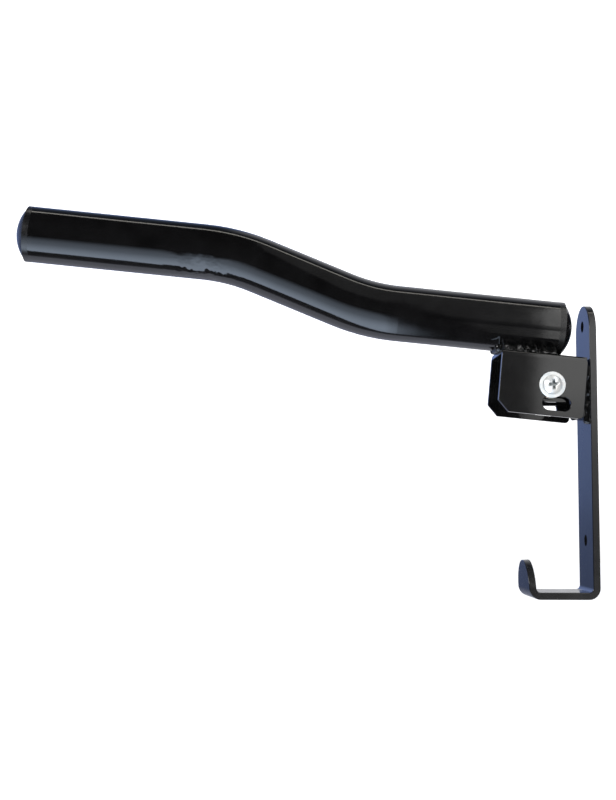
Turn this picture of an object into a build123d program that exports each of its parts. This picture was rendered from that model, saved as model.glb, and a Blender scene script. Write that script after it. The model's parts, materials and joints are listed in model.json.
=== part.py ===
from build123d import *
import math
import os

os.makedirs("parts", exist_ok=True)

# Bicycle wall rack, in millimetres. Origin: on the wall plane, midway between the
# two wall-screw holes. -Y points out of the wall, +Z up, X sideways.

# Wall bar: flat steel with a full-round top and a J hook bent at the bottom
BAR_WIDTH = 40.0
BAR_THICK = 5.0
BAR_TOP = 91.4
BAR_BOTTOM = -117.0
SCREW_SPACING = 153.0
SCREW_HOLE_R = 4.0
HOOK_REACH = 49.2
HOOK_LEG = 26.7
HOOK_LEAN = 3.2
HOOK_BEND_R = 8.0
BAR_EDGE_R = 0.5

# Pivot bolt axis, and the arm's tilt above level at rest
PIVOT_Y = -32.5
PIVOT_Z = 32.0
ARM_TILT = 5.45

# U bracket on the bar: two cheeks that carry the pivot bolt
BRACKET_WIDTH = 35.0
BRACKET_THICK = 4.0
BRACKET_BEND_R = 4.5
CHEEK_R = 11.5
CHEEK_FLARE_Y = -16.5
FLANGE_FLARE = 0.5
BRACKET_LOW = 10.0
BRACKET_HIGH = 46.5
RIGHT_WELD_LOW = 5.5
RIGHT_WELD_HIGH = 46.5
LEFT_WELD_LOW = 11.5
LEFT_WELD_HIGH = 45.0
BRACKET_WELD_LEG = 1.6
BRACKET_WELD_HIGH = 4.6

# Arm channel: an inverted U that straddles the bar; lengths along the arm from the pivot
CHANNEL_GAP = 40.8
CHANNEL_THICK = 3.0
CHANNEL_OUT = 36.6
CHANNEL_BACK = 23.8
CHANNEL_TOP = 22.2
CHANNEL_BOTTOM = -21.7
CHANNEL_BEND_R = 4.2
CHANNEL_CHAMFER = 7.6
TOP_BACK_R = 5.0
LOW_BACK_R = 3.0
PLATE_EDGE_R = 0.4
SLOT_LENGTH = 20.0
SLOT_HEIGHT = 10.0
SLOT_BACK = 4.2
SLOT_DROP = 12.8

# Arm tube: round tube with two opposite bends of the same angle
TUBE_R = 20.0
TUBE_WALL = 2.0
TUBE_BACK = 3.4
TUBE_BEND_1 = 131.5
TUBE_BEND_2 = 232.6
TUBE_END = 377.3
TUBE_RISE = 30.5
TUBE_BEND_R = 140.0

# Welds between the tube and the channel's web, and the root gap that they fill
WELD_GAP = 0.8
WELD_ROOT = 5.0
WELD_TOE = 14.0
WELD_CROWN = 0.8
WELD_SHOULDER_X = 21.2
WELD_SHOULDER_DROP = 0.6
WELD_HIGH = 5.5
WELD_SHORT_BACK = 1.0
WELD_SHORT_FRONT = 2.5
LUMP_R = 3.4
LUMP_RISE = 2.2
LUMP_HALF = 11.0
LUMP_END_R = 2.5

# End caps
CAP_COLLAR = 4.2
CAP_DOME = 7.4
CAP_STEP = 0.8
CAP_WALL = 2.7
PLUG_LENGTH = 18.0
PLUG_R = 17.0
PLUG_BORE_R = 14.5
RIB_R = 17.95
RIB_WIDTH = 1.6
RIB_PITCH = 4.2
RIB_FIRST = 2.5
RIB_COUNT = 4

# Pivot bolt set
BOLT_R = 4.0
BOLT_HOLE_R = 4.1
RUNNING_R = 4.06
HEAD_R = 6.5
HEAD_HIGH = 4.4
HEAD_RIM = 1.3
RECESS_SPAN = 9.6
RECESS_FOOT = 2.4
RECESS_WIDTH = 2.1
RECESS_DEEP = 3.2
RECESS_TURN = 8.0
WASHER_R = 9.2
WASHER_THICK = 1.6
WASHER_EDGE = 0.3
NUT_FLATS = 13.0
NUT_HIGH = 6.6
NUT_COLLAR = 1.6
NUT_COLLAR_R = 5.9
NUT_COLLAR_WALL = 0.7
NUT_COLLAR_LIP = 1.2
NUT_CORNER = 0.9
NUT_BORE_R = 4.05
INSERT_BORE_R = 4.03
INSERT_SINK = 0.4
INSERT_SEAT = 0.2
BOLT_PROUD = 2.0
BOLT_POINT = 0.8
SLEEVE_R = 6.5
FRICTION_R = 9.0
FACE_GAP = 0.06

CHANNEL_HALF = CHANNEL_GAP / 2 + CHANNEL_THICK
TUBE_AXIS = CHANNEL_TOP + WELD_GAP + TUBE_R
PIVOT = Pos(0, PIVOT_Y, PIVOT_Z)
ARM = PIVOT * Rot(-ARM_TILT, 0, 0)


def save(name, shape):
    """Write one sub-part as one STEP file."""
    export_step(shape, f"parts/{name}.step")


def one_solid(shape):
    """The largest solid of a boolean result."""
    return max(shape.solids(), key=lambda solid: solid.volume)


def side_plate(points, half_width):
    """A closed outline of (y, z) points, extruded across the rack from -X to +X."""
    face = make_face(Plane.YZ * Polyline(*points, close=True))
    return extrude(face, half_width, both=True)


def turned(points):
    """A closed outline of (x, r) points, revolved about the X axis."""
    return revolve(make_face(Polyline(*points, close=True)), Axis.X)


def cross_rod(radius, x_low, x_high):
    """A cylinder along X between two x values."""
    length = x_high - x_low
    return Pos((x_low + x_high) / 2, 0, 0) * Rot(0, 90, 0) * Cylinder(radius, length)


def x_edges_near(shape, y, z, reach=1.0):
    """Edges that run along X close to the line at (y, z)."""
    found = ShapeList()
    for edge in shape.edges().filter_by(Axis.X):
        centre = edge.center()
        if math.hypot(centre.Y - y, centre.Z - z) < reach:
            found.append(edge)
    return found


def broken_edges(shape, radius, across):
    """The shape with its sharp outline edges rounded; edges along axis across are left."""
    kept = ShapeList()
    for edge in shape.edges():
        if edge in shape.edges().filter_by(across):
            continue
        if edge.geom_type == GeomType.CIRCLE and edge.is_closed:
            continue
        kept.append(edge)
    return fillet(kept, radius)


def round_end_waste(top):
    """What a full-round end of the bar removes, for a flat end at height top."""
    half = BAR_WIDTH / 2
    block = Pos(0, 0, top - half / 2 + 1) * Box(BAR_WIDTH + 2, 4 * BAR_THICK, half + 2)
    disc = Pos(0, 0, top - half) * Rot(90, 0, 0) * Cylinder(half, 6 * BAR_THICK)
    return block - disc


def wall_bar():
    """Flat bar, full-round at both ends, with two screw holes and a J hook."""
    lean_y = math.sin(math.radians(HOOK_LEAN))
    lean_z = math.cos(math.radians(HOOK_LEAN))
    tip = (-HOOK_REACH - HOOK_LEG * lean_y, BAR_BOTTOM + HOOK_LEG * lean_z)
    inner_tip = (tip[0] + BAR_THICK * lean_z, tip[1] + BAR_THICK * lean_y)
    floor = BAR_BOTTOM + BAR_THICK
    down = (inner_tip[1] - floor) / lean_z
    inner_foot = (inner_tip[0] + down * lean_y, floor)
    bar = side_plate(
        [
            (0, BAR_TOP),
            (0, BAR_BOTTOM),
            (-HOOK_REACH, BAR_BOTTOM),
            tip,
            inner_tip,
            inner_foot,
            (-BAR_THICK, floor),
            (-BAR_THICK, BAR_TOP),
        ],
        BAR_WIDTH / 2,
    )
    inner_r = HOOK_BEND_R - BAR_THICK
    outer = x_edges_near(bar, 0, BAR_BOTTOM) + x_edges_near(bar, -HOOK_REACH, BAR_BOTTOM)
    bar = fillet(outer, HOOK_BEND_R)
    inner = x_edges_near(bar, *inner_foot) + x_edges_near(bar, -BAR_THICK, floor)
    bar = fillet(inner, inner_r)
    bar -= round_end_waste(BAR_TOP)
    hook = Pos(0, tip[0], tip[1]) * Rot(HOOK_LEAN, 0, 0)
    bar -= hook * round_end_waste(0)
    bar = broken_edges(bar, BAR_EDGE_R, Axis.X)
    for z in (-SCREW_SPACING / 2, SCREW_SPACING / 2):
        bar -= Pos(0, 0, z) * Rot(90, 0, 0) * Cylinder(SCREW_HOLE_R, 4 * BAR_THICK)
    return bar


def cheek_outline():
    """(y, z) outline of a cheek: round about the pivot, flared out at the bar."""
    nose = [
        (PIVOT_Y + CHEEK_R * math.cos(a), PIVOT_Z + CHEEK_R * math.sin(a))
        for a in (math.radians(90), math.radians(180), math.radians(270))
    ]
    back = -BAR_THICK
    front = back - BRACKET_THICK - FLANGE_FLARE
    lower = [
        nose[2],
        (CHEEK_FLARE_Y, nose[2][1]),
        (front, BRACKET_LOW),
        (back, BRACKET_LOW),
        (back, BRACKET_HIGH),
        (front, BRACKET_HIGH),
        (CHEEK_FLARE_Y, nose[0][1]),
        nose[0],
    ]
    edges = Polyline(*lower) + ThreePointArc(*nose)
    return make_face(Plane.YZ * edges)


def pivot_bracket():
    """U bracket: back on the bar, two cheeks bored for the pivot bolt."""
    half = BRACKET_WIDTH / 2
    solid = extrude(cheek_outline(), half, both=True)
    corners = solid.edges().filter_by(Axis.Z).group_by(Axis.Y)[-1]
    solid = fillet(corners, BRACKET_BEND_R)
    inside = half - BRACKET_THICK
    back = -BAR_THICK - BRACKET_THICK
    depth = 60.0
    middle = (BRACKET_LOW + BRACKET_HIGH) / 2
    solid -= Pos(0, back - depth / 2, middle) * Box(2 * inside, depth, 100)
    solid -= PIVOT * cross_rod(RUNNING_R, -half - 1, half + 1)
    return solid


def bracket_weld(side):
    """Fillet weld along one side of the bracket's back; the right one runs past its low end."""
    half = BRACKET_WIDTH / 2
    front = -BAR_THICK
    low, high = (RIGHT_WELD_LOW, RIGHT_WELD_HIGH) if side > 0 else (LEFT_WELD_LOW, LEFT_WELD_HIGH)
    face = make_face(
        Polyline(
            (half - BRACKET_BEND_R, front),
            (half + BRACKET_WELD_LEG, front),
            (half + BRACKET_WELD_LEG / 2, front - BRACKET_WELD_HIGH * 2 / 3),
            (half, front - BRACKET_WELD_HIGH),
            (half - BRACKET_WELD_LEG, front - BRACKET_WELD_HIGH),
            close=True,
        )
    )
    bead = Pos(0, 0, low) * extrude(face, high - low)
    bead -= pivot_bracket()
    bead = one_solid(bead)
    return bead if side > 0 else mirror(bead, Plane.YZ)


def spacer_sleeve():
    """Steel tube between the cheeks, bored for the bolt."""
    half = BRACKET_WIDTH / 2 - BRACKET_THICK
    tube = cross_rod(SLEEVE_R, -half, half) - cross_rod(RUNNING_R, -half - 1, half + 1)
    return PIVOT * tube


def friction_washer(side):
    """Nylon washer between a cheek and the arm's plate."""
    low = BRACKET_WIDTH / 2
    high = CHANNEL_GAP / 2 - FACE_GAP
    ring = cross_rod(FRICTION_R, low, high) - cross_rod(RUNNING_R, low - 1, high + 1)
    ring = PIVOT * ring
    return ring if side > 0 else mirror(ring, Plane.YZ)


def slot_cutter():
    """The round-ended slot through both plates of the channel."""
    centre = Pos(0, SLOT_BACK, -SLOT_DROP)
    face = Plane.YZ * SlotOverall(SLOT_LENGTH, SLOT_HEIGHT)
    return centre * extrude(face, CHANNEL_HALF + 2, both=True)


def corner_waste(y, z, radius, turn):
    """What a rounded corner at (y, z) removes from a plate; turn is the corner's angle."""
    width = 2 * CHANNEL_HALF + 2
    block = Pos(0, radius / 2 + 1, radius / 2 + 1) * Box(width, radius + 2, radius + 2)
    rod = cross_rod(radius, -CHANNEL_HALF - 2, CHANNEL_HALF + 2)
    place = Pos(0, y, z) * Rot(turn, 0, 0) * Pos(0, -radius, -radius)
    return place * (block - rod)


def arm_channel():
    """Inverted U: web on top, two slotted plates bored for the bolt."""
    solid = side_plate(
        [
            (CHANNEL_BACK, CHANNEL_TOP),
            (CHANNEL_BACK, CHANNEL_BOTTOM),
            (-CHANNEL_OUT + CHANNEL_CHAMFER, CHANNEL_BOTTOM),
            (-CHANNEL_OUT, CHANNEL_BOTTOM + CHANNEL_CHAMFER),
            (-CHANNEL_OUT, CHANNEL_TOP),
        ],
        CHANNEL_HALF,
    )
    top_edges = solid.edges().filter_by(Axis.Y).group_by(Axis.Z)[-1]
    solid = fillet(top_edges, CHANNEL_BEND_R)
    depth = 80.0
    inner_top = CHANNEL_TOP - CHANNEL_THICK
    hollow = Pos(0, 0, inner_top - depth / 2) * Box(CHANNEL_GAP, 200, depth)
    hollow = fillet(hollow.edges().filter_by(Axis.Y), CHANNEL_BEND_R - CHANNEL_THICK)
    solid -= hollow
    web_keep = Box(CHANNEL_GAP - 1, 200, 200)
    solid -= corner_waste(CHANNEL_BACK, CHANNEL_TOP, TOP_BACK_R, 0) - web_keep
    solid -= corner_waste(CHANNEL_BACK, CHANNEL_BOTTOM, LOW_BACK_R, -90)
    solid -= slot_cutter()
    outside = ShapeList()
    for face in (solid.faces().sort_by(Axis.X)[0], solid.faces().sort_by(Axis.X)[-1]):
        bend_line = face.edges().sort_by(Axis.Z)[-1]
        for edge in face.edges():
            if edge != bend_line:
                outside.append(edge)
    solid = fillet(outside, PLATE_EDGE_R)
    solid -= cross_rod(BOLT_HOLE_R, -CHANNEL_HALF - 1, CHANNEL_HALF + 1)
    return solid


def tube_path():
    """Centreline of the arm tube, from its wall end outwards."""
    high = TUBE_AXIS + TUBE_RISE
    points = [
        (0, TUBE_BACK, TUBE_AXIS),
        (0, -TUBE_BEND_1, TUBE_AXIS),
        (0, -TUBE_BEND_2, high),
        (0, -TUBE_END, high),
    ]
    return FilletPolyline(*points, radius=TUBE_BEND_R)


def tube_rod():
    """The tube's first straight run as a long solid rod."""
    return Pos(0, 0, TUBE_AXIS) * Rot(90, 0, 0) * Cylinder(TUBE_R, 200)


def arm_tube():
    """Round tube with two opposite bends."""
    path = tube_path()
    start = Plane(origin=path @ 0, z_dir=path % 0)
    outer = sweep(start * Circle(TUBE_R), path=path)
    inner = sweep(start * Circle(TUBE_R - TUBE_WALL), path=path)
    return outer - inner


def tube_weld(side):
    """Long weld from the tube's side down over the channel's shoulder."""
    low = CHANNEL_TOP
    high = low + WELD_HIGH
    face = make_face(
        Polyline(
            (WELD_ROOT, low),
            (CHANNEL_HALF - CHANNEL_BEND_R, low),
            (WELD_SHOULDER_X, low - WELD_SHOULDER_DROP),
            (WELD_SHOULDER_X - WELD_CROWN, low + WELD_HIGH / 4),
            ((WELD_SHOULDER_X + WELD_TOE) / 2 + WELD_CROWN, low + WELD_HIGH / 2),
            (WELD_TOE - WELD_HIGH / 8, high),
            (WELD_ROOT, high),
            close=True,
        )
    )
    bead = Plane.XZ.offset(-TUBE_BACK + WELD_SHORT_BACK) * face
    bead = extrude(bead, CHANNEL_OUT + TUBE_BACK - WELD_SHORT_FRONT)
    bead = one_solid(bead - tube_rod() - arm_channel())
    return bead if side > 0 else mirror(bead, Plane.YZ)


def tube_weld_front():
    """Weld lump across the channel's outer end, under the tube."""
    lump = cross_rod(LUMP_R, -LUMP_HALF, LUMP_HALF)
    lump = Pos(0, -CHANNEL_OUT, CHANNEL_TOP + LUMP_RISE) * fillet(lump.edges(), LUMP_END_R)
    lump -= tube_rod()
    below = CHANNEL_TOP - LUMP_R / 4
    lump -= Pos(0, -CHANNEL_OUT, below - LUMP_R) * Box(4 * LUMP_HALF, 4 * LUMP_R, 2 * LUMP_R)
    inward = Box(4 * LUMP_HALF, 2 * LUMP_R, 2 * LUMP_R)
    lump -= Pos(0, LUMP_R - CHANNEL_OUT, CHANNEL_TOP - LUMP_R) * inward
    lump -= tube_weld(1)
    lump -= tube_weld(-1)
    return one_solid(lump)


def dome_arc(edge_x, edge_r, rise):
    """Arc of a shallow dome in (x, r), from its rim to its top on the axis."""
    sphere_r = (edge_r ** 2 + rise ** 2) / (2 * rise)
    middle_r = edge_r / 2
    sink = sphere_r - math.sqrt(sphere_r ** 2 - middle_r ** 2)
    rim = (edge_x, edge_r)
    return ThreePointArc(rim, (edge_x + rise - sink, middle_r), (edge_x + rise, 0))


def end_cap():
    """Domed tube cap that points to +X, its collar's seat at x = 0, with a ribbed plug."""
    inside = CAP_COLLAR - CAP_WALL
    points = [(inside, 0), (inside, PLUG_BORE_R)]
    points += [(-PLUG_LENGTH, PLUG_BORE_R), (-PLUG_LENGTH, PLUG_R)]
    for i in reversed(range(RIB_COUNT)):
        x = -RIB_FIRST - i * RIB_PITCH
        points += [(x - RIB_WIDTH, PLUG_R), (x, RIB_R), (x, PLUG_R)]
    points += [(0, PLUG_R), (0, TUBE_R), (CAP_COLLAR, TUBE_R), (CAP_COLLAR, TUBE_R - CAP_STEP)]
    arc = dome_arc(CAP_COLLAR, TUBE_R - CAP_STEP, CAP_DOME)
    outline = Polyline(*points) + arc + Line(arc @ 1, points[0])
    return revolve(make_face(outline), Axis.X)


def front_end_cap():
    """Cap in the tube's outer end."""
    return Pos(0, -TUBE_END, TUBE_AXIS + TUBE_RISE) * Rot(0, 0, -90) * end_cap()


def rear_end_cap():
    """Cap in the tube's wall end."""
    return Pos(0, TUBE_BACK, TUBE_AXIS) * Rot(0, 0, 90) * end_cap()


def washer(side):
    """Steel washer against the outside of the arm's plate."""
    low = CHANNEL_HALF
    high = low + WASHER_THICK
    edge = WASHER_EDGE
    ring = turned(
        [
            (low, BOLT_HOLE_R),
            (low, WASHER_R),
            (high - edge, WASHER_R),
            (high, WASHER_R - edge),
            (high, BOLT_HOLE_R),
        ]
    )
    return ring if side > 0 else mirror(ring, Plane.YZ)


def nut_end():
    """x of the lock nut's outer end."""
    return -(CHANNEL_HALF + WASHER_THICK + NUT_HIGH + NUT_COLLAR)


def cross_recess(top):
    """Tapered cross-shaped drive recess, cut down from a head whose top is at x = top."""
    over = 1.0
    slope = (RECESS_SPAN - RECESS_FOOT) / 2 / RECESS_DEEP
    wide = RECESS_SPAN / 2 + over * slope
    wing = Polyline(
        (top + over, -wide),
        (top + over, wide),
        (top - RECESS_DEEP, RECESS_FOOT / 2),
        (top - RECESS_DEEP, -RECESS_FOOT / 2),
        close=True,
    )
    blade = extrude(make_face(wing), RECESS_WIDTH / 2, both=True)
    return Rot(RECESS_TURN, 0, 0) * blade + Rot(RECESS_TURN + 90, 0, 0) * blade


def pivot_bolt():
    """Domed pan-head bolt with a cross recess."""
    seat = CHANNEL_HALF + WASHER_THICK
    rim = seat + HEAD_RIM
    end = nut_end() - BOLT_PROUD
    points = [(end, 0), (end, BOLT_R - BOLT_POINT), (end + BOLT_POINT, BOLT_R)]
    points += [(seat, BOLT_R), (seat, HEAD_R), (rim, HEAD_R)]
    arc = dome_arc(rim, HEAD_R, HEAD_HIGH - HEAD_RIM)
    outline = Polyline(*points) + arc + Line(arc @ 1, points[0])
    bolt = revolve(make_face(outline), Axis.X)
    return bolt - cross_recess(seat + HEAD_HIGH)


def lock_nut():
    """Hexagon nut with a round collar that holds a nylon ring."""
    hexagon = RegularPolygon(NUT_FLATS / 2, 6, major_radius=False)
    body = extrude(Plane.YZ * hexagon, -NUT_HIGH)
    wide = NUT_FLATS / math.sqrt(3)
    slim = wide - NUT_CORNER
    slope = NUT_CORNER / math.sqrt(3)
    drum = turned(
        [
            (-NUT_HIGH, 0),
            (-NUT_HIGH, slim),
            (-NUT_HIGH + slope, wide),
            (-slope, wide),
            (0, slim),
            (0, 0),
        ]
    )
    body = one_solid(body & drum)
    top = -NUT_HIGH - NUT_COLLAR
    body += cross_rod(NUT_COLLAR_R, top, -NUT_HIGH + INSERT_SEAT)
    body -= cross_rod(NUT_BORE_R, top, 1)
    seat_r = NUT_COLLAR_R - NUT_COLLAR_WALL
    body -= cross_rod(seat_r, top + INSERT_SINK, -NUT_HIGH + INSERT_SEAT)
    body -= cross_rod(NUT_COLLAR_R - NUT_COLLAR_LIP, top - 1, -NUT_HIGH)
    return Pos(-CHANNEL_HALF - WASHER_THICK, 0, 0) * body


def lock_nut_insert():
    """Nylon ring in the lock nut's collar."""
    seat = -CHANNEL_HALF - WASHER_THICK
    low = seat - NUT_HIGH - NUT_COLLAR + INSERT_SINK
    high = seat - NUT_HIGH + INSERT_SEAT
    seat_r = NUT_COLLAR_R - NUT_COLLAR_WALL
    return cross_rod(seat_r, low, high) - cross_rod(INSERT_BORE_R, low - 1, high + 1)


save("wall_bar", wall_bar())
save("pivot_bracket", pivot_bracket())
save("bracket_weld_right", bracket_weld(1))
save("bracket_weld_left", bracket_weld(-1))
save("spacer_sleeve", spacer_sleeve())
save("friction_washer_right", friction_washer(1))
save("friction_washer_left", friction_washer(-1))
save("arm_channel", ARM * arm_channel())
save("arm_tube", ARM * arm_tube())
save("tube_weld_right", ARM * tube_weld(1))
save("tube_weld_left", ARM * tube_weld(-1))
save("tube_weld_front", ARM * tube_weld_front())
save("front_end_cap", ARM * front_end_cap())
save("rear_end_cap", ARM * rear_end_cap())
save("pivot_bolt", ARM * pivot_bolt())
save("bolt_washer", ARM * washer(1))
save("nut_washer", ARM * washer(-1))
save("lock_nut", ARM * lock_nut())
save("lock_nut_insert", ARM * lock_nut_insert())
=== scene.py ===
"""Bicycle wall rack: its looks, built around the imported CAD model.

Metres. Origin on the wall plane, -Y out of the wall along the arm, +Z up, X along the pivot bolt.
"""

import json
import math

import bmesh
import bpy
from mathutils import Matrix, Vector, noise


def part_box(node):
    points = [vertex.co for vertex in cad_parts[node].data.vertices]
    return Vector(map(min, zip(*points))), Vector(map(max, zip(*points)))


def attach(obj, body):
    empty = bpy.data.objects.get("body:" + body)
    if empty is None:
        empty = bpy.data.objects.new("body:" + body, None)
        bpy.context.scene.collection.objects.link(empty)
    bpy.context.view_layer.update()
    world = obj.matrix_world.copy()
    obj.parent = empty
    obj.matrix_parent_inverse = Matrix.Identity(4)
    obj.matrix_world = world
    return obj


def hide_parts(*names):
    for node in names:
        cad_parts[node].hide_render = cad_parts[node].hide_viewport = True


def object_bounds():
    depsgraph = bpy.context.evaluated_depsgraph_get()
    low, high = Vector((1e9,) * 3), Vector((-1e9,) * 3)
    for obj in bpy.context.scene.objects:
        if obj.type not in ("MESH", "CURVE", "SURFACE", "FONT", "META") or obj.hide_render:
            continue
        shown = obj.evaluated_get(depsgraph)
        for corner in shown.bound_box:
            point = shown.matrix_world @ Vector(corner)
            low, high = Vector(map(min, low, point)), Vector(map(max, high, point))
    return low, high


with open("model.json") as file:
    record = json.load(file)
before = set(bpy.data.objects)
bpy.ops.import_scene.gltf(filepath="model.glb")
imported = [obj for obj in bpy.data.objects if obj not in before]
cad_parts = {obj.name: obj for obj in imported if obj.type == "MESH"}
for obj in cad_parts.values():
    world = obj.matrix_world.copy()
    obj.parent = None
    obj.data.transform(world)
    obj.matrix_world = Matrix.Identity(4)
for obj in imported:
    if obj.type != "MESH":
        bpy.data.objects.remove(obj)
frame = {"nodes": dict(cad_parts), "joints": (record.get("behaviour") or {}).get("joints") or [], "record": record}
CAD_LOW, CAD_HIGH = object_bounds()
NODES = frame["nodes"]
PIVOT = Vector(frame["joints"][0]["pos_m"])
ARM_TILT = math.radians(5.45)  # the arm's rise above level at rest
OUTWARD = Vector((0, -math.cos(ARM_TILT), math.sin(ARM_TILT)))
ARM_UP = Vector((0, math.sin(ARM_TILT), math.cos(ARM_TILT)))
SIDEWAYS = Vector((1, 0, 0))


# ---------------------------------------------------------------- materials

CREASE_OUT = 0.253  # from the pivot out to the creases at the outer bend, and half their length
CREASE_OUT_HALF = 0.028
CREASE_UP = 0.060  # from the pivot up to the bend's underside, and half the creases' height
CREASE_UP_HALF = 0.018
CREASE_SCALE = 62


def new_material(name):
    """An empty node material and its Principled shader."""
    material = bpy.data.materials.new(name)
    material.use_nodes = True
    tree = material.node_tree
    shader = tree.nodes["Principled BSDF"]
    return material, tree, shader


def object_coords(tree):
    """Object coordinates, which are the CAD frame's metres on every piece."""
    return tree.nodes.new("ShaderNodeTexCoord").outputs["Object"]


def noise_field(tree, scale, detail=3.0, roughness=0.5):
    """A noise texture's value."""
    node = tree.nodes.new("ShaderNodeTexNoise")
    node.inputs["Scale"].default_value = scale
    node.inputs["Detail"].default_value = detail
    node.inputs["Roughness"].default_value = roughness
    tree.links.new(object_coords(tree), node.inputs["Vector"])
    return node.outputs["Fac"]


def ramp(tree, value, stops):
    """A colour ramp; stops are (position, grey or colour)."""
    node = tree.nodes.new("ShaderNodeValToRGB")
    elements = node.color_ramp.elements
    while len(elements) < len(stops):
        elements.new(0.5)
    for element, (position, colour) in zip(elements, stops):
        element.position = position
        rgb = colour if isinstance(colour, tuple) else (colour,) * 3
        element.color = (*rgb, 1.0)
    tree.links.new(value, node.inputs["Fac"])
    return node.outputs["Color"]


def multiplied(tree, value, factor):
    """A value times a number or another value."""
    node = tree.nodes.new("ShaderNodeMath")
    node.operation = "MULTIPLY"
    tree.links.new(value, node.inputs[0])
    if isinstance(factor, (int, float)):
        node.inputs[1].default_value = factor
    else:
        tree.links.new(factor, node.inputs[1])
    return node.outputs["Value"]


def spread(tree, value, low, high, start=0.3, end=0.7):
    """Maps a value's start..end range onto low..high."""
    node = tree.nodes.new("ShaderNodeMapRange")
    node.inputs["From Min"].default_value = start
    node.inputs["From Max"].default_value = end
    node.inputs["To Min"].default_value = low
    node.inputs["To Max"].default_value = high
    tree.links.new(value, node.inputs["Value"])
    return node.outputs["Result"]


def bump(tree, height, distance, below=None):
    """A bump layer whose height of 1 stands distance metres; below is the layer under it."""
    node = tree.nodes.new("ShaderNodeBump")
    node.inputs["Strength"].default_value = 1.0
    node.inputs["Distance"].default_value = distance
    tree.links.new(height, node.inputs["Height"])
    if below is not None:
        tree.links.new(below, node.inputs["Normal"])
    return node.outputs["Normal"]


def near_plane(tree, direction, along, half):
    """1 at a distance from the pivot along a direction, falling to 0 at half on either side."""
    offset = tree.nodes.new("ShaderNodeVectorMath")
    offset.operation = "SUBTRACT"
    tree.links.new(object_coords(tree), offset.inputs[0])
    offset.inputs[1].default_value = PIVOT + along * direction
    length = tree.nodes.new("ShaderNodeVectorMath")
    length.operation = "DOT_PRODUCT"
    tree.links.new(offset.outputs["Vector"], length.inputs[0])
    length.inputs[1].default_value = direction
    distance = tree.nodes.new("ShaderNodeMath")
    distance.operation = "ABSOLUTE"
    tree.links.new(length.outputs["Value"], distance.inputs[0])
    return spread(tree, distance.outputs["Value"], 1.0, 0.0, 0.3 * half, half)


def black_paint(name, colour, rough, peel, peel_scale, wave=0.0, crease=0.0):
    """Black paint: slightly uneven colour and gloss, orange peel, a slow wave and bend creases.

    peel, wave and crease are heights in metres.
    """
    material, tree, shader = new_material(name)
    blotch = noise_field(tree, 55, 4)
    dark = tuple(0.55 * c for c in colour)
    light = tuple(1.35 * c for c in colour)
    tree.links.new(ramp(tree, blotch, [(0.3, dark), (0.7, light)]), shader.inputs["Base Color"])
    gloss = noise_field(tree, 130, 5, 0.6)
    tree.links.new(spread(tree, gloss, rough[0], rough[1]), shader.inputs["Roughness"])
    normal = bump(tree, noise_field(tree, peel_scale, 2), peel)
    if wave:
        normal = bump(tree, noise_field(tree, 30, 1), wave, below=normal)
    if crease:
        outer_bend = near_plane(tree, OUTWARD, CREASE_OUT, CREASE_OUT_HALF)
        underside = near_plane(tree, ARM_UP, CREASE_UP, CREASE_UP_HALF)
        patch = multiplied(tree, outer_bend, underside)
        creases = multiplied(tree, noise_field(tree, CREASE_SCALE), patch)
        normal = bump(tree, creases, crease, below=normal)
    tree.links.new(normal, shader.inputs["Normal"])
    return material


def plastic(name, colour, rough, grain):
    """Moulded black plastic with a fine grain."""
    material, tree, shader = new_material(name)
    tint = noise_field(tree, 90, 3)
    dark = tuple(0.7 * c for c in colour)
    light = tuple(1.25 * c for c in colour)
    tree.links.new(ramp(tree, tint, [(0.3, dark), (0.7, light)]), shader.inputs["Base Color"])
    tree.links.new(spread(tree, noise_field(tree, 300, 3), *rough), shader.inputs["Roughness"])
    tree.links.new(bump(tree, noise_field(tree, 2600, 2), grain), shader.inputs["Normal"])
    return material


def zinc(name):
    """Bright zinc plating, faintly blue in places, over turned steel, with painted shade that darkens it to near
    black in recesses and where parts meet.
    """
    material, tree, shader = new_material(name)
    blush = noise_field(tree, 160, 4)
    stops = [(0.3, (0.72, 0.79, 0.83)), (0.5, (0.82, 0.84, 0.84)), (0.75, (0.86, 0.84, 0.80))]
    # Painted shade: within 4 mm of other surfaces, ambient occlusion multiplies the base colour down to a dark
    # teal, in recesses, crevices and where zinc parts meet other parts.
    hollow = tree.nodes.new("ShaderNodeAmbientOcclusion")
    hollow.inputs["Distance"].default_value = 0.004
    shade = ramp(tree, hollow.outputs["AO"], [(0.30, (0.02, 0.05, 0.06)), (0.72, 1.0)])
    painted_shade = tree.nodes.new("ShaderNodeMix")
    painted_shade.data_type = "RGBA"
    painted_shade.blend_type = "MULTIPLY"
    painted_shade.inputs["Factor"].default_value = 1.0
    tree.links.new(ramp(tree, blush, stops), painted_shade.inputs["A"])
    tree.links.new(shade, painted_shade.inputs["B"])
    tree.links.new(painted_shade.outputs["Result"], shader.inputs["Base Color"])
    shader.inputs["Metallic"].default_value = 0.5
    tree.links.new(spread(tree, noise_field(tree, 420, 4), 0.3, 0.46), shader.inputs["Roughness"])
    tree.links.new(bump(tree, noise_field(tree, 1500, 3), 0.00002), shader.inputs["Normal"])
    return material


def nylon(name):
    """Off-white nylon."""
    material, tree, shader = new_material(name)
    tint = noise_field(tree, 200, 3)
    stops = [(0.3, (0.62, 0.60, 0.54)), (0.7, (0.75, 0.73, 0.67))]
    tree.links.new(ramp(tree, tint, stops), shader.inputs["Base Color"])
    tree.links.new(spread(tree, tint, 0.4, 0.55), shader.inputs["Roughness"])
    shader.inputs["Subsurface Weight"].default_value = 0.1
    shader.inputs["Subsurface Scale"].default_value = 0.001
    tree.links.new(bump(tree, noise_field(tree, 1800, 2), 0.00003), shader.inputs["Normal"])
    return material


def finish_node(name, material):
    """Gives a CAD node a better material."""
    mesh = NODES[name].data
    if not mesh.materials:
        mesh.materials.append(material)
    for i in range(len(mesh.materials)):
        mesh.materials[i] = material


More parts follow.
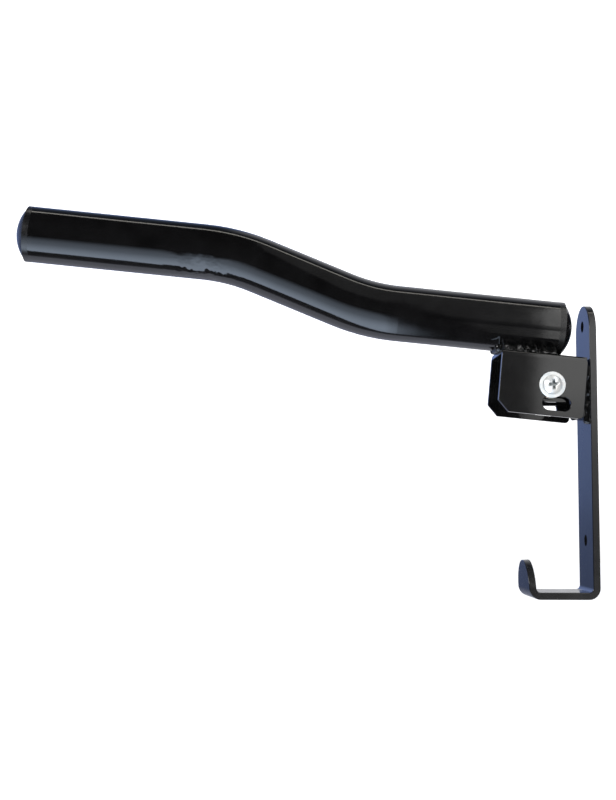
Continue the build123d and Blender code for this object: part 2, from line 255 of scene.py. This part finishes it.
TUBE_PAINT = black_paint(
    "tube_gloss", (0.0032, 0.0032, 0.0034), (0.07, 0.12), 0.00001, 700, wave=0.0002,
    crease=0.0018,
)
BAR_PAINT = black_paint("bar_satin", (0.005, 0.005, 0.006), (0.13, 0.20), 0.00001, 1100)
PLATE_PAINT = black_paint("plate_satin", (0.0042, 0.0042, 0.0044), (0.07, 0.095), 0.0000015, 1100)
WELD_PAINT = black_paint("weld_gloss", (0.004, 0.004, 0.004), (0.08, 0.14), 0.00002, 500)
CAP_PLASTIC = plastic("cap_plastic", (0.006, 0.006, 0.0065), (0.24, 0.32), 0.00002)
ZINC = zinc("zinc_plate")
NYLON = nylon("nylon")

LOOKS = {
    "bar_paint": BAR_PAINT,
    "bracket_paint": PLATE_PAINT,
    "weld_paint": WELD_PAINT,
    "tube_paint": TUBE_PAINT,
    "cap_plastic": CAP_PLASTIC,
    "zinc": ZINC,
    "nylon": NYLON,
}
for part in frame["record"]["subparts"]:
    finish_node(part["node"], LOOKS[part["material_slot"]])


# ---------------------------------------------------------------- weld beads and thread

WELD_VOXEL = 0.00045  # the beads' mesh size
WELD_LUMP_SCALE = 150
RIPPLE_SHARE, LUMP_SHARE, SINK_SHARE = 0.6, 1.8, 0.5  # of a bead's height
RIPPLE_BOW = 0.25  # how far a ripple's ends trail behind its middle


def rippled_weld(name, along, across, pitch, height, seed):
    """A CAD weld's shape with ripples along it and random lumps, in place of its node."""
    source = NODES[name]
    bead = bpy.data.objects.new(name + "_bead", source.data.copy())
    bpy.context.scene.collection.objects.link(bead)
    remesh = bead.modifiers.new("remesh", "REMESH")
    remesh.mode = "VOXEL"
    remesh.voxel_size = WELD_VOXEL
    graph = bpy.context.evaluated_depsgraph_get()
    mesh = bpy.data.meshes.new_from_object(bead.evaluated_get(graph))
    bead.modifiers.clear()
    bead.data = mesh
    middle = sum((vertex.co.dot(across) for vertex in mesh.vertices), 0.0) / len(mesh.vertices)
    shift = Vector((seed, 0.3 * seed, -seed))
    for vertex in mesh.vertices:
        bow = (vertex.co.dot(across) - middle) / pitch
        phase = vertex.co.dot(along) / pitch + RIPPLE_BOW * bow * bow
        scallop = abs(math.sin(math.pi * phase))
        lump = noise.noise(WELD_LUMP_SCALE * vertex.co + shift)
        rise = RIPPLE_SHARE * scallop + LUMP_SHARE * lump - SINK_SHARE
        vertex.co += height * rise * vertex.normal
    mesh.materials.clear()
    mesh.materials.append(WELD_PAINT)
    for face in mesh.polygons:
        face.use_smooth = True
    body = "wall_side" if name.startswith("bracket") else "arm"
    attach(bead, body)
    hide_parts(name)


def bolt_thread():
    """Helical ridge on the bolt's end where it stands out of the lock nut."""
    bolt_tip, nut_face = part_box("pivot_bolt")[0].x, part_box("lock_nut")[0].x
    pitch, root, crest = 0.00125, 0.00385, 0.00412
    half_base = 0.42  # of the pitch
    per_turn, run_out = 48, 12  # steps in a turn, and in each tapered end
    start, end = nut_face + 0.0002, bolt_tip + 0.0009
    steps = int((start - end) / pitch * per_turn)
    ridge = bmesh.new()
    rows = []
    for i in range(steps + 1):
        turn = 2 * math.pi * i / per_turn
        x = start - pitch * i / per_turn
        spoke = math.cos(turn) * ARM_UP + math.sin(turn) * OUTWARD
        taper = min(1.0, i / run_out, (steps - i) / run_out)
        top = root + (crest - root) * taper
        row = []
        for side, reach in ((-half_base, root), (0.0, top), (half_base, root)):
            place = Vector((x + side * pitch, PIVOT.y, PIVOT.z)) + reach * spoke
            row.append(ridge.verts.new(place))
        rows.append(row)
    for a, b in zip(rows, rows[1:]):
        for k in range(3):
            ridge.faces.new((a[k], a[(k + 1) % 3], b[(k + 1) % 3], b[k]))
    ridge.faces.new(rows[0])
    ridge.faces.new(reversed(rows[-1]))
    bmesh.ops.recalc_face_normals(ridge, faces=ridge.faces)
    mesh = bpy.data.meshes.new("bolt_thread")
    ridge.to_mesh(mesh)
    ridge.free()
    mesh.materials.append(ZINC)
    piece = bpy.data.objects.new("bolt_thread", mesh)
    bpy.context.scene.collection.objects.link(piece)
    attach(piece, "arm")


rippled_weld("tube_weld_right", OUTWARD, ARM_UP, 0.0080, 0.0012, 3.1)
rippled_weld("tube_weld_left", OUTWARD, ARM_UP, 0.0080, 0.0012, 8.7)
rippled_weld("tube_weld_front", SIDEWAYS, ARM_UP, 0.0060, 0.0009, 5.2)
rippled_weld("bracket_weld_right", Vector((0, 0, 1)), SIDEWAYS, 0.0060, 0.0008, 1.9)
rippled_weld("bracket_weld_left", Vector((0, 0, 1)), SIDEWAYS, 0.0060, 0.0008, 6.4)
bolt_thread()


# ---------------------------------------------------------------- stage, light and camera

def stage_material(name, colour, glow):
    """Pale matte stage paint that also glows white."""
    material, tree, shader = new_material(name)
    shader.inputs["Base Color"].default_value = (*colour, 1)
    shader.inputs["Roughness"].default_value = 0.9
    shader.inputs["Emission Color"].default_value = (1, 1, 1, 1)
    shader.inputs["Emission Strength"].default_value = glow
    return material


def build_stage():
    """A pale floor and a white dome that only the camera sees."""
    floor_drop = 0.45
    bpy.ops.mesh.primitive_circle_add(
        vertices=96, radius=11, fill_type="NGON", location=(0, 0, CAD_LOW.z - floor_drop)
    )
    floor = bpy.context.object
    floor.name = "floor"
    floor.data.materials.append(stage_material("floor_white", (0.9, 0.9, 0.9), 1.0))
    floor.visible_glossy = False
    bpy.ops.mesh.primitive_uv_sphere_add(segments=48, ring_count=24, radius=12)
    dome = bpy.context.object
    dome.name = "backdrop"
    dome.data.materials.append(stage_material("backdrop_white", (1, 1, 1), 1.0))
    dome.visible_glossy = False
    dome.visible_diffuse = False
    dome.visible_shadow = False


# The sky's colour by degrees about the Y axis: 0 is +X, the camera's side, and 90 is up.
SKY = [
    (-180, (0.16, 0.22, 0.42)),
    (-174, (0.10, 0.13, 0.24)),
    (-160, (0.50, 0.52, 0.63)),
    (-138, (0.72, 0.75, 0.88)),
    (-114, (0.95, 0.99, 1.16)),
    (-108, (0.12, 0.12, 0.15)),
    (-84, (0.06, 0.06, 0.07)),
    (-50, (0.04, 0.04, 0.045)),
    (20, (0.02, 0.02, 0.022)),
    (95, (0.015, 0.015, 0.017)),
    (125, (0.10, 0.13, 0.19)),
    (168, (0.38, 0.52, 1.0)),
    (180, (0.20, 0.28, 0.54)),
]
WALL_GLOW = (0.75, 0.76, 0.80)


def build_world():
    """What the paint reflects: SKY all round, and a pale glow behind the rack by the wall."""
    world = bpy.data.worlds.new("studio")
    bpy.context.scene.world = world
    world.use_nodes = True
    tree = world.node_tree
    background = tree.nodes["Background"]
    direction = tree.nodes.new("ShaderNodeTexCoord").outputs["Generated"]
    split = tree.nodes.new("ShaderNodeSeparateXYZ")
    tree.links.new(direction, split.inputs["Vector"])
    angle = tree.nodes.new("ShaderNodeMath")
    angle.operation = "ARCTAN2"
    tree.links.new(split.outputs["Z"], angle.inputs[0])
    tree.links.new(split.outputs["X"], angle.inputs[1])
    turn = spread(tree, angle.outputs["Value"], 0.0, 1.0, -math.pi, math.pi)
    sky = ramp(tree, turn, [((degrees + 180) / 360, rgb) for degrees, rgb in SKY])
    behind = spread(tree, split.outputs["X"], 1.0, 0.0, -0.7, -0.2)
    wallward = spread(tree, split.outputs["Y"], 0.0, 1.0, 0.05, 0.16)
    both = multiplied(tree, behind, wallward)
    mix = tree.nodes.new("ShaderNodeMix")
    mix.data_type = "RGBA"
    tree.links.new(both, mix.inputs["Factor"])
    tree.links.new(sky, mix.inputs["A"])
    mix.inputs["B"].default_value = (*WALL_GLOW, 1)
    tree.links.new(mix.outputs["Result"], background.inputs["Color"])
    background.inputs["Strength"].default_value = 1.0


def card_material(name, colour, strength, fades):
    """A reflector card's glow; each fade is an axis, its start and end, and a ramp between."""
    material, tree, shader = new_material(name)
    split = tree.nodes.new("ShaderNodeSeparateXYZ")
    tree.links.new(object_coords(tree), split.inputs["Vector"])
    glow = None
    for axis, start, end, stops in fades:
        along = spread(tree, split.outputs[axis], 0.0, 1.0, start, end)
        places = [((place - start) / (end - start), level) for place, level in stops]
        level = ramp(tree, along, places)
        glow = level if glow is None else multiplied(tree, glow, level)
    shader.inputs["Base Color"].default_value = (0, 0, 0, 1)
    shader.inputs["Emission Color"].default_value = (*colour, 1)
    tree.links.new(multiplied(tree, glow, strength), shader.inputs["Emission Strength"])
    return material


def card(name, vertices, faces, material):
    """A reflector that the camera doesn't see."""
    mesh = bpy.data.meshes.new(name)
    mesh.from_pydata(vertices, [], faces)
    mesh.materials.append(material)
    piece = bpy.data.objects.new(name, mesh)
    bpy.context.scene.collection.objects.link(piece)
    piece.visible_camera = False
    piece.visible_shadow = False


def build_ground_card():
    """Bright bluish card below the rack, fading with distance; it makes the tube's band."""
    level = -0.82
    ramp_x = [(-0.3, 0.7), (0.12, 0.95), (0.33, 0.9), (0.9, 0.44), (2.3, 0.11), (3.0, 0.03)]
    fades = [
        ("X", -0.3, 3.0, ramp_x),
        ("Y", -0.25, -0.06, [(-0.22, 1.0), (-0.11, 0.0)]),
    ]
    glow = card_material("ground_card", (0.78, 0.93, 1.15), 4.6, fades)
    outline = [(0.12, -1.6), (3.0, -1.6), (3.0, -0.06)]
    outline += [(-0.2, -0.06), (-0.15, -0.24), (0.12, -0.58)]
    corners = [(x, y, level) for x, y in outline]
    card("ground_card", corners, [tuple(range(len(corners)))], glow)


def arc_card(name, strength, left, right):
    """Curved neutral card about the arm's direction; left and right give its edges' y by angle."""
    ramp_z = [(-0.35, 0.9), (-0.28, 0.9), (-0.20, 0.13), (-0.14, 0.22), (0.07, 0.5), (0.14, 1.0)]
    glow = card_material(name, (1.0, 1.0, 0.99), strength, [("Z", -0.8, 1.2, ramp_z)])
    radius, centre = 1.13, Vector((0.02, 0, 0.05))
    start, sweep, steps = -50, 135, 32  # degrees, degrees and facets
    vertices = []
    for i in range(steps + 1):
        turn = math.radians(start + sweep * i / steps)
        rim = centre + radius * Vector((math.cos(turn), 0, math.sin(turn)))
        vertices += [(rim.x, left(turn), rim.z), (rim.x, right(turn), rim.z)]
    faces = [(2 * i, 2 * i + 1, 2 * i + 3, 2 * i + 2) for i in range(steps)]
    card(name, vertices, faces, glow)


def side_edge(turn):
    """The bright side card's near edge, slanted so that it reads upright on the tilted tube."""
    return 0.185 + 0.17 * math.sin(turn / 2)


def area_light(name, place, facing, along, size, radiance, colour=(1, 1, 1)):
    """A rectangular light; size is (length along, width), and radiance is its brightness."""
    data = bpy.data.lights.new(name, "AREA")
    data.shape = "RECTANGLE"
    data.size, data.size_y = size
    data.energy = radiance * math.pi * size[0] * size[1]
    data.color = colour
    light = bpy.data.objects.new(name, data)
    bpy.context.scene.collection.objects.link(light)
    back = -Vector(facing).normalized()
    side = Vector(along).normalized()
    side = (side - side.dot(back) * back).normalized()
    turn = Matrix((side, back.cross(side), back)).transposed()
    light.matrix_world = Matrix.Translation(place) @ turn.to_4x4()


STRIP_PLACE = Vector((-0.05, -0.15, 1.2))
STRIP_WARM = (1.0, 0.97, 0.90)
KEY_PLACE = Vector((0.75, -1.15, 0.45))
KEY_AIM = Vector((0, -0.1, 0))
CARD_WALL_EDGE = 1.0  # the side cards' outermost edges along Y
CARD_FRONT_EDGE = 0.02


def build_lights():
    """Thin strip overhead, the three cards, and a key light from the left."""
    area_light("strip", STRIP_PLACE, (0.05, 0, -1), (0.15, 1, 0), (2.6, 0.10), 3.4, STRIP_WARM)
    build_ground_card()
    arc_card("side_card", 2.3, side_edge, lambda turn: CARD_WALL_EDGE)
    arc_card("side_card_dim", 0.2, lambda turn: CARD_FRONT_EDGE, side_edge)
    area_light("key", KEY_PLACE, KEY_AIM - KEY_PLACE, (1, 0.6, 0), (0.6, 0.6), 14)


CAMERA_PLACE = Vector((0.8511, -0.2174, -0.0549))
CAMERA_YAW = -0.0172  # about +Z, from looking along -X with +Y to the right
CAMERA_PITCH = 0.0906  # upwards
CAMERA_ROLL = 0.0044
FOCAL = 1195.3  # the focal length, where the picture's long side is LONG_SIDE
LONG_SIDE = 800


def build_camera():
    """The viewpoint beside the rack, a little below the arm and looking slightly up."""
    data = bpy.data.cameras.new("camera")
    data.sensor_width = 36
    data.lens = FOCAL / LONG_SIDE * data.sensor_width
    data.clip_start = 0.01
    camera = bpy.data.objects.new("camera", data)
    bpy.context.scene.collection.objects.link(camera)
    right = Matrix.Rotation(CAMERA_YAW, 3, "Z") @ Vector((0, 1, 0))
    ahead = Matrix.Rotation(CAMERA_YAW, 3, "Z") @ Vector((-1, 0, 0))
    up = Vector((0, 0, 1))
    look = math.cos(CAMERA_PITCH) * ahead + math.sin(CAMERA_PITCH) * up
    above = -math.sin(CAMERA_PITCH) * ahead + math.cos(CAMERA_PITCH) * up
    side = math.cos(CAMERA_ROLL) * right + math.sin(CAMERA_ROLL) * above
    top = -math.sin(CAMERA_ROLL) * right + math.cos(CAMERA_ROLL) * above
    turn = Matrix((side, top, -look)).transposed()
    camera.matrix_world = Matrix.Translation(CAMERA_PLACE) @ turn.to_4x4()
    bpy.context.scene.camera = camera


bpy.context.scene.view_settings.view_transform = "Standard"
build_stage()
build_world()
build_lights()
build_camera()
